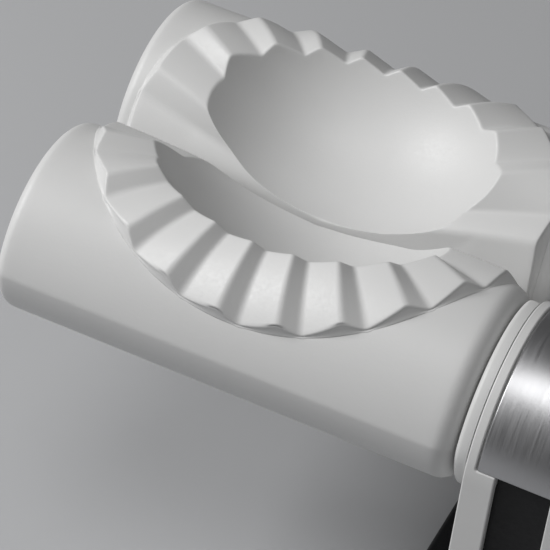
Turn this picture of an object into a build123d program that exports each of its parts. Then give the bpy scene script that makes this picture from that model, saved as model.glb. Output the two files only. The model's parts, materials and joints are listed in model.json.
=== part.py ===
from build123d import *
import math
import os

# Double dumpling maker. X runs along the mould rollers, Y from front to back, Z up from the table.
# The origin lies on the table under the middle of the body. All sizes are in millimetres.

# Driving sizes of the rollers
mould_length = 110.0
mould_radius = 26.0
nip_gap = 3.2
axis_height = 80.0
crease_angle = 167.5
skirt_radius = 17.0
inner_end_rounding = 4.5
outer_end_rounding = 2.5
mould_boss_radius = 8.0
mould_boss_length = 0.6

# Pleated ring and hollow of a mould
ring_radius = 50.4
ring_start_radius = 2.0
pleat_ridge = 2.3
pleat_valley = 0.5
pleat_pitch_angle = 16.0
pleat_centre_angle = 90.0
steep_facet_share = 0.33
ring_root_depth = 2.5
ring_station_shares = (0.0, 0.24, 0.42, 0.58, 0.74, 0.87, 1.0)
hollow_centre_angle = 60.5
hollow_half_angle = 46.0
hollow_floor_radius = 12.5
hollow_rim_half_length = 33.5

# Shafts, carriers and caps
shaft_radius = 4.0
shaft_flat_depth = 1.0
shaft_thread_length = 4.0
carrier_thickness = 2.8
carrier_radius = 25.0
carrier_nip_reach = 13.0
carrier_corner_radius = 4.0
carrier_edge_rounding = 1.2
cap_radius = 7.0
cap_length = 6.0
cap_rounding = 1.5

# Fits and general clearances
running_clearance = 0.05
seat_clearance = 0.02
side_clearance = 0.3
panel_clearance = 0.05
overrun = 1.0

# Cheeks, covers and panels
cheek_inner_x = 6.35
cheek_depth = 7.0
cheek_wall = 2.3
cheek_radius = 25.2
cover_thickness = 1.1
cover_rebate = 1.2
cover_lift = 3.8
valley_angle = 40.0
panel_thickness = 2.0
panel_side_lap = 4.5
panel_top_lap = 1.5
rear_panel_gap = 3.0

# Gears
gear_module = 1.5
gear_teeth = 16
sector_equal_teeth = 40
pressure_angle = 20.0
root_factor = 1.2
flank_backlash = 0.12
gear_half_width = 5.4
idler_split_x = 0.5
gear_hub_radius = 6.6
idler_hub_radius = 4.4
hub_end_clearance = 0.3
idler_spread = 12.0
idler_pin_radius = 2.5
pin_seat_depth = 4.0

# Press lever
lever_pivot_y = 42.0
lever_rest_angle = 65.0
mould_turn_angle = 145.0
sector_margin_angle = 9.0
sector_web_margin_angle = 2.0
lever_plate_x = 1.0
lever_plate_thickness = 4.0
lever_half_width = 7.0
lever_length = 84.0
lever_hub_radius = 6.5
lever_pin_radius = 3.0
grip_radius = 10.0
grip_length = 64.0
grip_rounding = 6.0
grip_screw_radius = 1.6
grip_screw_head_radius = 3.2
grip_screw_head_height = 1.6
spring_wire_radius = 0.7
spring_turns = 3.0
spring_pitch = 1.7
spring_hub_gap = 0.35

# Tie rods, screws, base, mat and bumper
rod_radius = 2.5
rod_boss_radius = 5.2
shaft_boss_radius = 8.5
bush_radius = 6.0
bush_flange_radius = 7.6
bush_flange_thickness = 0.3
stop_gap = 0.2
stop_reach = 33.0
front_rod_y = -42.0
front_rod_heights = (26.0, 60.0)
rear_rod_place = (20.0, 22.0)
cheek_screw_radius = 1.5
cheek_screw_head_radius = 3.0
cheek_screw_head_height = 1.6
cheek_screw_reach = 7.0
base_half_width = 30.0
base_front_y = -66.0
base_rear_y = 122.0
base_thickness = 8.0
base_corner_radius = 8.0
base_edge_rounding = 1.5
base_screw_y = 42.0
base_screw_radius = 1.5
base_screw_head_radius = 2.8
base_screw_head_height = 1.8
base_screw_reach = 9.0
base_boss_radius = 3.1
base_boss_height = 12.0
mat_thickness = 3.0
mat_inset = 2.5
bumper_radius = 6.0
bumper_height = 6.0
bumper_inset = 19.6
bumper_post_radius = 8.0
bumper_gap = 0.3

# Derived places
axis_offset = mould_radius + nip_gap / 2
cheek_outer_x = cheek_inner_x + cheek_depth
pocket_x = cheek_outer_x - cheek_wall
carrier_x = cheek_outer_x + side_clearance
mould_inner_x = carrier_x + carrier_thickness + mould_boss_length
mould_outer_x = mould_inner_x + mould_length
mould_middle_x = mould_inner_x + mould_length / 2
leg_y = axis_offset + cheek_radius
rim_y = leg_y - cheek_wall
base_top = mat_thickness + base_thickness
base_screw_x = cheek_inner_x + base_boss_radius
underside_z = mould_radius * math.sin(math.radians(crease_angle)) - skirt_radius
hub_end_x = cheek_inner_x - hub_end_clearance
gear_radius = gear_module * gear_teeth / 2
gear_tip_radius = gear_radius + gear_module
sector_radius = gear_module * sector_equal_teeth / 2
sector_distance = gear_radius + sector_radius
idler_drop = math.sqrt((2 * gear_radius) ** 2 - (axis_offset - idler_spread) ** 2)
idler_height = axis_height - idler_drop
pivot_drop = math.sqrt(sector_distance ** 2 - (lever_pivot_y - axis_offset) ** 2)
pivot_height = axis_height - pivot_drop
lever_turn_angle = mould_turn_angle * gear_teeth / sector_equal_teeth
lever_pressed_angle = lever_rest_angle - lever_turn_angle
cover_outer_radius = cheek_radius - panel_clearance
cover_bottom = axis_height + cover_lift
valley_y = axis_offset - cheek_radius * math.cos(math.radians(valley_angle))
valley_top = axis_height + cheek_radius * math.sin(math.radians(valley_angle))
front_axis = (-axis_offset, axis_height)
rear_axis = (axis_offset, axis_height)
idler_a_axis = (-idler_spread, idler_height)
idler_b_axis = (idler_spread, idler_height)
pivot_axis = (lever_pivot_y, pivot_height)


def save(shape, name):
    """Write one finished piece."""
    os.makedirs("parts", exist_ok=True)
    export_step(shape, os.path.join("parts", name + ".step"))


def rod(place, radius, x_low, x_high):
    """A round bar along X through a place in the YZ plane."""
    return extrude(Plane.YZ.offset(x_low) * Pos(*place) * Circle(radius), amount=x_high - x_low)


def plate(profile, x_low, x_high):
    """A YZ profile made solid between two X positions."""
    return extrude(Plane.YZ.offset(x_low) * profile, amount=x_high - x_low)


def block(x_span, y_span, z_span):
    """A box from its low and high limits along each axis."""
    size = [high - low for low, high in (x_span, y_span, z_span)]
    middle = [(high + low) / 2 for low, high in (x_span, y_span, z_span)]
    return Pos(*middle) * Box(*size)


def pillar(x, y, radius, z_low, z_high):
    """A round post along Z."""
    return Pos(x, y, (z_low + z_high) / 2) * Cylinder(radius, z_high - z_low)


def at_angle(place, radius, angle):
    """The point at a radius and an angle from a place in the YZ plane."""
    turn = math.radians(angle)
    return (place[0] + radius * math.cos(turn), place[1] + radius * math.sin(turn))


def line_angle(start, end):
    """The angle of the line from one place to another in the YZ plane."""
    return math.degrees(math.atan2(end[1] - start[1], end[0] - start[0]))


def flatted(radius, x_low, x_high):
    """A round bar on the X axis with one flat on top."""
    bar = rod((0, 0), radius, x_low, x_high)
    flat_z = radius - shaft_flat_depth
    return bar - block((x_low - overrun, x_high + overrun), (-2 * radius, 2 * radius), (flat_z, 2 * radius))


# Rollers: a mould is built on the X axis, with the nip on its +Y side and the body on its +X side

def hump_section(radius):
    """A hump's section: a round crown, a crease, a curved skirt and a flat underside."""
    crease_y = radius * math.cos(math.radians(crease_angle))
    crease_z = radius * math.sin(math.radians(crease_angle))
    heel_y = math.sqrt(radius ** 2 - underside_z ** 2)
    skirt = crease_z - underside_z
    crown = ThreePointArc((heel_y, underside_z), (0, radius), (crease_y, crease_z))
    skirt_mid = at_angle((crease_y + skirt, crease_z), skirt, 225)
    skirt_arc = ThreePointArc((crease_y, crease_z), skirt_mid, (crease_y + skirt, underside_z))
    floor_line = Line((crease_y + skirt, underside_z), (heel_y, underside_z))
    return make_face([crown, skirt_arc, floor_line])


def hump():
    """The plain hump with its rounded ends."""
    half = mould_length / 2
    body = plate(hump_section(mould_radius), -half, half)
    inner_edges = body.edges().filter_by_position(Axis.X, half, half)
    body = fillet(inner_edges, inner_end_rounding)
    outer_edges = body.edges().filter_by_position(Axis.X, -half, -half)
    return fillet(outer_edges, outer_end_rounding)


def pleat_lines(complement):
    """Angle and height of each pleat edge, round the half ring from the body's side outwards."""
    half_steep = pleat_pitch_angle * steep_facet_share / 2
    gentle_angle = pleat_pitch_angle - 2 * half_steep
    rise = pleat_ridge - pleat_valley
    steep_count = math.floor(pleat_centre_angle / pleat_pitch_angle)
    lines = []
    for step in range(-steep_count, steep_count + 1):
        centre = pleat_centre_angle + step * pleat_pitch_angle
        lines.append((centre - half_steep, pleat_valley))
        lines.append((centre + half_steep, pleat_ridge))
    start_height = pleat_valley + rise * lines[0][0] / gentle_angle
    end_height = pleat_ridge - rise * (180 - lines[-1][0]) / gentle_angle
    lines = [(0, start_height)] + lines + [(180, end_height)]
    if complement:
        total = pleat_ridge + pleat_valley
        lines = [(angle, total - height) for angle, height in lines]
    return lines


def draped_point(reach, angle, height):
    """A point over the hump, for a polar place on the round wrapper that drapes over it."""
    along = reach * math.cos(math.radians(angle))
    across = reach * math.sin(math.radians(angle))
    if across <= mould_radius:
        turn = math.acos(1 - across / mould_radius)
    else:
        turn = math.pi / 2 + (across - mould_radius) / mould_radius
    distance = mould_radius + height
    return Vector(along, distance * math.cos(turn), distance * math.sin(turn))


def faceted_solid(top, bottom):
    """A closed solid of flat triangles between two point grids of the same size."""
    faces = []

    def quad(a, b, c, d):
        faces.append(Face(Wire.make_polygon([a, b, c])))
        faces.append(Face(Wire.make_polygon([a, c, d])))

    rows = len(top)
    columns = len(top[0])
    for i in range(rows - 1):
        for j in range(columns - 1):
            quad(top[i][j], top[i][j + 1], top[i + 1][j + 1], top[i + 1][j])
            quad(bottom[i][j], bottom[i + 1][j], bottom[i + 1][j + 1], bottom[i][j + 1])
    for i in range(rows - 1):
        quad(top[i][0], top[i + 1][0], bottom[i + 1][0], bottom[i][0])
        quad(top[i + 1][-1], top[i][-1], bottom[i][-1], bottom[i + 1][-1])
    for j in range(columns - 1):
        quad(top[0][j + 1], top[0][j], bottom[0][j], bottom[0][j + 1])
        quad(top[-1][j], top[-1][j + 1], bottom[-1][j + 1], bottom[-1][j])
    return Solid(Shell(faces))


def pleated_ring(complement):
    """The raised half ring, with its pleats running towards the middle of the nip."""
    span = ring_radius - ring_start_radius
    reaches = [ring_start_radius + span * share for share in ring_station_shares]
    top = []
    bottom = []
    for angle, height in pleat_lines(complement):
        top.append([draped_point(reach, angle, height) for reach in reaches])
        bottom.append([draped_point(reach, angle, -ring_root_depth) for reach in reaches])
    return faceted_solid(top, bottom)


def hollow():
    """The filling's hollow: a long egg shape turned about a line parallel to X."""
    cosine = math.cos(math.radians(hollow_half_angle))
    floor = hollow_floor_radius
    spare = mould_radius ** 2 + floor ** 2 - 2 * floor * mould_radius * cosine
    round_radius = spare / (2 * (mould_radius * cosine - floor))
    centre_radius = round_radius + floor
    rim_share = (centre_radius - mould_radius) / round_radius
    long_radius = hollow_rim_half_length / math.sqrt(1 - rim_share ** 2)
    outline = Ellipse(long_radius, round_radius) & Pos(0, round_radius) * Rectangle(
        2 * long_radius + overrun, 2 * round_radius)
    egg = revolve(Plane.XY * outline, Axis.X)
    return Pos(0, *at_angle((0, 0), centre_radius, hollow_centre_angle)) * egg


def mould(complement):
    """One mould with its ring, hollow, boss and flatted bore."""
    half = mould_length / 2
    body = hump() + pleated_ring(complement)
    body = body - hollow()
    body = body + rod((0, 0), mould_boss_radius, half - overrun, half + mould_boss_length)
    bore = flatted(shaft_radius + seat_clearance, -half - overrun, half + mould_boss_length + overrun)
    return body - bore


def carrier():
    """The plate that carries a mould's inner end, cut away on the nip side."""
    reach = 2 * carrier_radius
    profile = hump_section(carrier_radius) & Pos(carrier_nip_reach - reach / 2) * Rectangle(reach, reach)
    profile = fillet(profile.vertices(), carrier_corner_radius)
    body = plate(profile, 0, carrier_thickness)
    body = fillet(body.faces().sort_by(Axis.X)[0].edges(), carrier_edge_rounding)
    return body - flatted(shaft_radius + seat_clearance, -overrun, carrier_thickness + overrun)


def end_cap():
    """A capped nut on the shaft's outer end."""
    cap = rod((0, 0), cap_radius, -cap_length, 0)
    cap = fillet(cap.edges().sort_by(Axis.X)[0], cap_rounding)
    return cap - rod((0, 0), shaft_radius + seat_clearance, -shaft_thread_length, overrun)


def shaft():
    """One through shaft with a flat along each mould."""
    half = mould_outer_x + shaft_thread_length - seat_clearance
    bar = rod((0, 0), shaft_radius, -half, half)
    flat_z = shaft_radius - shaft_flat_depth
    for side in (-1, 1):
        x_span = sorted((side * carrier_x, side * mould_outer_x))
        bar = bar - block(x_span, (-2 * shaft_radius, 2 * shaft_radius), (flat_z, 2 * shaft_radius))
    return bar


# Gears

def involute(angle):
    """The involute of an angle in radians."""
    return math.tan(angle) - angle


def tooth_half_angle(radius, teeth):
    """Half of a tooth's angle at a radius, with the backlash taken off."""
    pitch_radius = gear_module * teeth / 2
    base_radius = pitch_radius * math.cos(math.radians(pressure_angle))
    at_pitch = math.pi / (2 * teeth) - flank_backlash / pitch_radius
    local = math.acos(min(1, base_radius / max(radius, base_radius)))
    return math.degrees(at_pitch + involute(math.radians(pressure_angle)) - involute(local))


def tooth_points(place, teeth, centre):
    """The points of one tooth's outline, from root to root."""
    pitch_radius = gear_module * teeth / 2
    radii = (pitch_radius - root_factor * gear_module, pitch_radius - gear_module / 2,
             pitch_radius + gear_module / 3, pitch_radius + gear_module)
    rising = [at_angle(place, radius, centre - tooth_half_angle(radius, teeth)) for radius in radii]
    falling = [at_angle(place, radius, centre + tooth_half_angle(radius, teeth)) for radius in radii]
    return rising + falling[::-1]


def mesh_phase(phase, teeth, next_teeth, line):
    """The tooth angle of the next gear in mesh, for a tooth angle of this one."""
    return line + 180 - (phase - line) * teeth / next_teeth + 180 / next_teeth


front_phase = line_angle(front_axis, idler_a_axis)
idler_a_phase = mesh_phase(front_phase, gear_teeth, gear_teeth, line_angle(front_axis, idler_a_axis))
idler_b_phase = mesh_phase(idler_a_phase, gear_teeth, gear_teeth, line_angle(idler_a_axis, idler_b_axis))
rear_phase = mesh_phase(idler_b_phase, gear_teeth, gear_teeth, line_angle(idler_b_axis, rear_axis))
sector_line = line_angle(rear_axis, pivot_axis)
sector_phase = mesh_phase(rear_phase, gear_teeth, sector_equal_teeth, sector_line)


def gear(place, phase, bore_radius, hub_radius, x_low, x_high):
    """A full gear with a hub that runs between the cheeks."""
    points = []
    for tooth in range(gear_teeth):
        points += tooth_points(place, gear_teeth, phase + tooth * 360 / gear_teeth)
    wheel = plate(make_face(Polyline(*points, close=True)), x_low, x_high)
    wheel = wheel + rod(place, hub_radius, -hub_end_x, hub_end_x)
    return wheel - rod(place, bore_radius, -cheek_outer_x, cheek_outer_x)


def sector_profile():
    """The lever plate's outline: toothed sector, arm and hub in one sheet."""
    pitch_angle = 360 / sector_equal_teeth
    mesh_angle = sector_line + 180
    low = mesh_angle - sector_margin_angle
    high = mesh_angle + lever_turn_angle + sector_margin_angle
    first = math.ceil((low - sector_phase) / pitch_angle)
    last = math.floor((high - sector_phase) / pitch_angle)
    points = [pivot_axis]
    for tooth in range(first, last + 1):
        points += tooth_points(pivot_axis, sector_equal_teeth, sector_phase + tooth * pitch_angle)
    outline = make_face(Polyline(*points, close=True))
    arm_middle = at_angle(pivot_axis, lever_length / 2, lever_rest_angle)
    arm = Pos(*arm_middle) * Rot(0, 0, lever_rest_angle) * Rectangle(lever_length, 2 * lever_half_width)
    hub = Pos(*pivot_axis) * Circle(lever_hub_radius + lever_plate_thickness)
    hub_hole = Pos(*pivot_axis) * Circle(lever_hub_radius + seat_clearance)
    return outline + arm + hub - hub_hole


# Frame pieces

def cheek_outline():
    """The cheek seen from the side: two crowns, a valley and straight legs."""
    legs_height = axis_height - base_top
    legs = Pos(0, base_top + legs_height / 2) * Rectangle(2 * leg_y, legs_height)
    crowns = Pos(*front_axis) * Circle(cheek_radius) + Pos(*rear_axis) * Circle(cheek_radius)
    valley = Pos(0, (base_top + valley_top) / 2) * Rectangle(2 * valley_y, valley_top - base_top)
    return legs + crowns + valley


def cheek_pocket():
    """The hollow inside of a cheek, one wall in from its outline and from the cover's rebate."""
    inset = cheek_wall + cover_rebate
    legs_low = base_top + cheek_wall
    legs = Pos(0, (legs_low + axis_height) / 2) * Rectangle(2 * rim_y, axis_height - legs_low)
    crowns = (Pos(*front_axis) * Circle(cheek_radius - inset)
              + Pos(*rear_axis) * Circle(cheek_radius - inset))
    valley = Pos(0, (legs_low + valley_top - inset) / 2) * Rectangle(
        2 * axis_offset, valley_top - inset - legs_low)
    return legs + crowns + valley


def cover_profile(place, outer_radius, inner_radius, bottom):
    """The bent cover sheet's section over one crown."""
    ring = Pos(*place) * (Circle(outer_radius) - Circle(inner_radius))
    side = math.copysign(1, place[0])
    reach = axis_offset + 2 * cheek_radius - valley_y
    window = Pos(side * (valley_y + reach / 2), bottom + reach / 2) * Rectangle(reach, reach)
    return ring & window


def rod_places():
    """The tie rods' places, with the stop rod that the lever rests against last."""
    places = [(front_rod_y, height) for height in front_rod_heights]
    places.append(rear_rod_place)
    along = at_angle(pivot_axis, stop_reach, lever_rest_angle)
    stop_offset = lever_half_width + rod_radius + stop_gap
    places.append(at_angle(along, stop_offset, lever_rest_angle + 90))
    return places


def left_cheek():
    """The left cheek: an open tray with bosses for shafts, pins, rods and base screws."""
    body = plate(cheek_outline(), -cheek_outer_x, -cheek_inner_x)
    body = body - plate(cheek_pocket(), -pocket_x, -cheek_inner_x + overrun)
    rebate_inner = cheek_radius - cover_rebate
    for place in (front_axis, rear_axis):
        rebate = cover_profile(place, cheek_radius + overrun, rebate_inner, cover_bottom)
        body = body - plate(rebate, -pocket_x, -cheek_inner_x + overrun)
    body = body - block((-pocket_x, -cheek_inner_x + overrun), (-valley_y, valley_y),
                        (valley_top - cover_rebate, valley_top + overrun))
    bosses = [(front_axis, shaft_boss_radius), (rear_axis, shaft_boss_radius),
              (idler_a_axis, rod_boss_radius), (idler_b_axis, rod_boss_radius),
              (pivot_axis, lever_hub_radius)]
    bosses += [(place, rod_boss_radius) for place in rod_places()]
    for place, radius in bosses:
        body = body + rod(place, radius, -pocket_x - overrun, -cheek_inner_x)
    for side in (-1, 1):
        body = body + pillar(-base_screw_x, side * base_screw_y, base_boss_radius, base_top,
                             base_top + base_boss_height)
    for place in (front_axis, rear_axis):
        body = body - rod(place, bush_radius + seat_clearance, -cheek_outer_x - overrun, 0)
    for place in (idler_a_axis, idler_b_axis):
        body = body - rod(place, idler_pin_radius + seat_clearance, -cheek_inner_x - pin_seat_depth, 0)
    body = body - rod(pivot_axis, lever_pin_radius + seat_clearance, -cheek_inner_x - pin_seat_depth, 0)
    for place in rod_places():
        body = body - rod(place, rod_radius + seat_clearance, -cheek_inner_x - pin_seat_depth, 0)
        body = body - rod(place, cheek_screw_radius + running_clearance, -cheek_outer_x - overrun, 0)
        body = body - rod(place, cheek_screw_head_radius + side_clearance, -cheek_outer_x - overrun,
                          -cheek_outer_x + cheek_screw_head_height)
    for side in (-1, 1):
        body = body - pillar(-base_screw_x, side * base_screw_y, base_screw_radius + seat_clearance,
                             base_top - overrun, base_top + base_screw_reach)
    return body


def cheek_screws():
    """The left cheek's screws, one into each tie rod."""
    screws = []
    head_inner = -cheek_outer_x + cheek_screw_head_height
    for place in rod_places():
        head = rod(place, cheek_screw_head_radius, -cheek_outer_x, head_inner)
        stem = rod(place, cheek_screw_radius, head_inner - overrun, head_inner + cheek_screw_reach)
        screws.append(head + stem)
    return screws


def tie_rod(place):
    """A tie rod between the cheeks, tapped at both ends."""
    half = cheek_inner_x + pin_seat_depth - seat_clearance
    bar = rod(place, rod_radius, -half, half)
    screw_end = cheek_outer_x - cheek_screw_head_height - cheek_screw_reach - seat_clearance
    for side in (-1, 1):
        x_span = sorted((side * screw_end, side * (half + overrun)))
        bar = bar - rod(place, cheek_screw_radius + seat_clearance, *x_span)
    return bar


def bush(place, side):
    """A flanged bearing bush in a cheek."""
    sleeve = rod(place, bush_radius, *sorted((side * cheek_inner_x, side * cheek_outer_x)))
    flange_x = sorted((side * cheek_outer_x, side * (cheek_outer_x + bush_flange_thickness)))
    sleeve = sleeve + rod(place, bush_flange_radius, *flange_x)
    reach = carrier_x + overrun
    return sleeve - rod(place, shaft_radius + running_clearance, -reach, reach)


def fixed_pin(place, radius):
    """A plain pin seated in both cheeks."""
    half = cheek_inner_x + pin_seat_depth - seat_clearance
    return rod(place, radius, -half, half)


def panel(y_face, z_top, lap_top):
    """A black panel behind the cheeks' rims, with a narrow lap up behind the cover."""
    y_span = sorted((y_face, y_face - math.copysign(panel_thickness, y_face)))
    wide_x = cheek_inner_x + panel_side_lap
    narrow_x = cheek_inner_x - panel_clearance
    z_low = base_top + cheek_wall + panel_clearance
    body = block((-wide_x, wide_x), y_span, (z_low, z_top))
    if lap_top > z_top:
        body = body + block((-narrow_x, narrow_x), y_span, (z_top - overrun, lap_top))
    return body


def bumper_place():
    """The middle of the bumper's top, just under the pressed lever's lower edge."""
    turn = math.radians(lever_pressed_angle)
    forward = base_rear_y - bumper_inset - lever_pivot_y - lever_half_width * math.sin(turn)
    along = at_angle(pivot_axis, forward / math.cos(turn), lever_pressed_angle)
    y, z = at_angle(along, lever_half_width, lever_pressed_angle - 90)
    return (y, z - bumper_radius * math.tan(turn) - bumper_gap)


def base_plate():
    """The base with its bumper post and screw holes."""
    length = base_rear_y - base_front_y
    outline = RectangleRounded(2 * base_half_width, length, base_corner_radius)
    middle_y = (base_rear_y + base_front_y) / 2
    body = extrude(Plane.XY.offset(mat_thickness) * Pos(0, middle_y) * outline, amount=base_thickness)
    body = fillet(body.faces().sort_by(Axis.Z)[-1].edges(), base_edge_rounding)
    post_y, bumper_top = bumper_place()
    post_top = bumper_top - bumper_height
    lever_x = lever_plate_x + lever_plate_thickness / 2
    body = body + pillar(lever_x, post_y, bumper_post_radius, base_top - overrun, post_top)
    for x in (-base_screw_x, base_screw_x):
        for y in (-base_screw_y, base_screw_y):
            body = body - pillar(x, y, base_screw_radius + running_clearance, mat_thickness - overrun,
                                 base_top + overrun)
            body = body - pillar(x, y, base_screw_head_radius + side_clearance, mat_thickness - overrun,
                                 mat_thickness + base_screw_head_height)
    return body


def base_mat():
    """The rubber mat under the base, on which the machine stands."""
    width = 2 * (base_half_width - mat_inset)
    length = base_rear_y - base_front_y - 2 * mat_inset
    outline = RectangleRounded(width, length, base_corner_radius - mat_inset)
    return extrude(Pos(0, (base_rear_y + base_front_y) / 2) * outline, amount=mat_thickness)


def base_screw(x, y):
    """A screw from below through the base into a cheek."""
    head_top = mat_thickness + base_screw_head_height
    head = pillar(x, y, base_screw_head_radius, mat_thickness, head_top)
    return head + pillar(x, y, base_screw_radius, head_top - overrun, base_top + base_screw_reach - overrun)


def grip():
    """The grip bar across the lever's end, slotted for the plate."""
    centre = at_angle(pivot_axis, lever_length, lever_rest_angle)
    bar = rod(centre, grip_radius, -grip_length / 2, grip_length / 2)
    bar = fillet(bar.edges().filter_by(GeomType.CIRCLE), grip_rounding)
    slot_low = lever_plate_x - running_clearance
    slot_high = lever_plate_x + lever_plate_thickness + running_clearance
    slot_middle = at_angle(pivot_axis, lever_length - grip_radius / 2, lever_rest_angle)
    slot_face = Pos(*slot_middle) * Rot(0, 0, lever_rest_angle) * Rectangle(
        grip_radius + 2 * running_clearance, 2 * lever_half_width + 2 * running_clearance)
    bar = bar - plate(slot_face, slot_low, slot_high)
    return bar


def return_spring():
    """The torsion spring's turns round the lever hub."""
    coil_radius = lever_hub_radius + spring_hub_gap + spring_wire_radius
    path = Helix(spring_pitch, spring_pitch * spring_turns, coil_radius)
    profile = Plane(origin=path @ 0, z_dir=path % 0) * Circle(spring_wire_radius)
    coil = sweep(profile, path=path)
    lift = -hub_end_x + spring_wire_radius
    return Pos(lift, *pivot_axis) * Rot(0, 90, 0) * coil


# Placing and writing the pieces

front_mould = Pos(-mould_middle_x, *front_axis) * mould(False)
rear_mould = Pos(-mould_middle_x, *rear_axis) * mirror(mould(True), Plane.XZ)
front_carrier = Pos(-carrier_x - carrier_thickness, *front_axis) * carrier()
rear_carrier = Pos(-carrier_x - carrier_thickness, *rear_axis) * mirror(carrier(), Plane.XZ)
cheek = left_cheek()

for row, mould_piece, carrier_piece, place in (("front", front_mould, front_carrier, front_axis),
                                               ("rear", rear_mould, rear_carrier, rear_axis)):
    cap = Pos(-mould_outer_x, *place) * end_cap()
    save(mould_piece, row + "_left_mould")
    save(mirror(mould_piece, Plane.YZ), row + "_right_mould")
    save(carrier_piece, row + "_left_carrier")
    save(mirror(carrier_piece, Plane.YZ), row + "_right_carrier")
    save(cap, row + "_left_cap")
    save(mirror(cap, Plane.YZ), row + "_right_cap")
    save(Pos(0, *place) * shaft(), row + "_shaft")
    save(bush(place, -1), row + "_left_bush")
    save(bush(place, 1), row + "_right_bush")

shaft_bore = shaft_radius + seat_clearance
pin_bore = idler_pin_radius + running_clearance
save(gear(front_axis, front_phase, shaft_bore, gear_hub_radius, -gear_half_width, gear_half_width), "front_gear")
save(gear(rear_axis, rear_phase, shaft_bore, gear_hub_radius, -gear_half_width, gear_half_width), "rear_gear")
for letter, place, phase in (("a", idler_a_axis, idler_a_phase), ("b", idler_b_axis, idler_b_phase)):
    save(gear(place, phase, pin_bore, idler_hub_radius, -gear_half_width, -idler_split_x), "idler_gear_" + letter)
    save(fixed_pin(place, idler_pin_radius), "idler_pin_" + letter)

lever_plate = plate(sector_profile(), lever_plate_x, lever_plate_x + lever_plate_thickness)
save(lever_plate, "lever_plate")
lever_hub = rod(pivot_axis, lever_hub_radius, -hub_end_x, hub_end_x)
save(lever_hub - rod(pivot_axis, lever_pin_radius + running_clearance, -cheek_outer_x, cheek_outer_x), "lever_hub")
save(grip(), "lever_grip")
save(fixed_pin(pivot_axis, lever_pin_radius), "pivot_pin")
save(return_spring(), "return_spring")

save(cheek, "left_cheek")
save(mirror(cheek, Plane.YZ), "right_cheek")
save(Compound(cheek_screws()), "left_cheek_screws")
save(Compound([mirror(screw, Plane.YZ) for screw in cheek_screws()]), "right_cheek_screws")
for name, place in zip(("front_low_rod", "front_high_rod", "rear_low_rod", "stop_rod"), rod_places()):
    save(tie_rod(place), name)

cover_half = pocket_x - panel_clearance
cover_inner_radius = cover_outer_radius - cover_thickness
for row, place in (("front", front_axis), ("rear", rear_axis)):
    sheet = cover_profile(place, cover_outer_radius, cover_inner_radius, cover_bottom + panel_clearance)
    save(plate(sheet, -cover_half, cover_half), row + "_cover")
cap_y = valley_y - panel_clearance
cap_top = valley_top - panel_clearance
save(block((-cover_half, cover_half), (-cap_y, cap_y), (cap_top - cover_thickness, cap_top)), "valley_cap")

front_panel = panel(-rim_y + panel_clearance, axis_height - panel_clearance, cover_bottom + panel_top_lap)
save(front_panel, "front_panel")
rear_panel_top = pivot_height - lever_hub_radius - rear_panel_gap
save(panel(rim_y - panel_clearance, rear_panel_top, rear_panel_top), "rear_panel")

save(base_plate(), "base_plate")
save(base_mat(), "base_mat")
corners = [(x, y) for y in (-base_screw_y, base_screw_y) for x in (-base_screw_x, base_screw_x)]
save(Compound([base_screw(x, y) for x, y in corners]), "base_screws")
bumper_y, bumper_top = bumper_place()
bumper_x = lever_plate_x + lever_plate_thickness / 2
save(pillar(bumper_x, bumper_y, bumper_radius, bumper_top - bumper_height, bumper_top), "bumper")
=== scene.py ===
"""Looks of the double roller dumpling maker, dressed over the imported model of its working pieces."""

import json
import logging
import math
from dataclasses import dataclass, field
from enum import Enum

import bmesh
import bpy
import numpy as np
from mathutils import Matrix, Vector


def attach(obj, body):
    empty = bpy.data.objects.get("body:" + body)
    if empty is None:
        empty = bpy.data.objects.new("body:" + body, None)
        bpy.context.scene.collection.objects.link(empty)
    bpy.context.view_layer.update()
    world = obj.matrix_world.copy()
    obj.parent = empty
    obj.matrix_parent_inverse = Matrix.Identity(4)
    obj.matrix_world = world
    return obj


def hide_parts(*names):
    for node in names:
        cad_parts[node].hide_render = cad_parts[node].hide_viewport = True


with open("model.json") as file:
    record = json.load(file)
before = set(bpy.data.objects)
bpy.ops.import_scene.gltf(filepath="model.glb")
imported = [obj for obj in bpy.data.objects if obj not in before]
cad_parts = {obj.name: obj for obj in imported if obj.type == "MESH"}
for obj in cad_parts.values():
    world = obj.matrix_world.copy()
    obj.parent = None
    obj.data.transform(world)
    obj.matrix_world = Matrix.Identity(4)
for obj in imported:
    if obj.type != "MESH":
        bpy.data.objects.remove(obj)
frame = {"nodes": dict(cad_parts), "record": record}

Array = np.ndarray
Skin = tuple[Array, list[Array]]
Colour = tuple[float, float, float]

LOG = logging.getLogger("dumpling_maker")
MM = 0.001
QUARTER_TURN = math.pi / 2
FULL_TURN = 2 * math.pi
AXIS_OFFSET = 27.6
AXIS_HEIGHT = 80.0
WELD_DISTANCE = 2e-6
SCREW_PLACES = ((-42.0, 26.0), (-42.0, 60.0), (20.0, 22.0), (47.155, 74.553))


class Side(Enum):
    """The half of the machine that a roller piece sits on, with its sign along X."""

    LEFT = -1
    RIGHT = 1


class Row(Enum):
    """The roller that a piece turns with, with its sign along Y."""

    FRONT = -1
    REAR = 1


def node_name(kind: str, *members: Enum) -> str:
    """Name of the node of one kind at a row, a side or both."""
    return "_".join([member.name.lower() for member in members] + [kind])


# Meshes from arrays

def grid_quads(rows: int, columns: int, closed: bool = False) -> Array:
    """Index the quads of a point grid that is stored row after row.

    Args:
        rows: Number of rows of points.
        columns: Number of points in each row.
        closed: True if the last column meets the first one again.

    Returns:
        Whole numbers of shape (quads, 4), turning left when rows run up and columns run right.
    """
    row = np.arange(rows - 1)[:, None]
    column = np.arange(columns if closed else columns - 1)[None, :]
    following = (column + 1) % columns
    corners = [row * columns + column, row * columns + following,
               (row + 1) * columns + following, (row + 1) * columns + column]
    return np.stack([corner.ravel() for corner in corners], axis=1)


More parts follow.
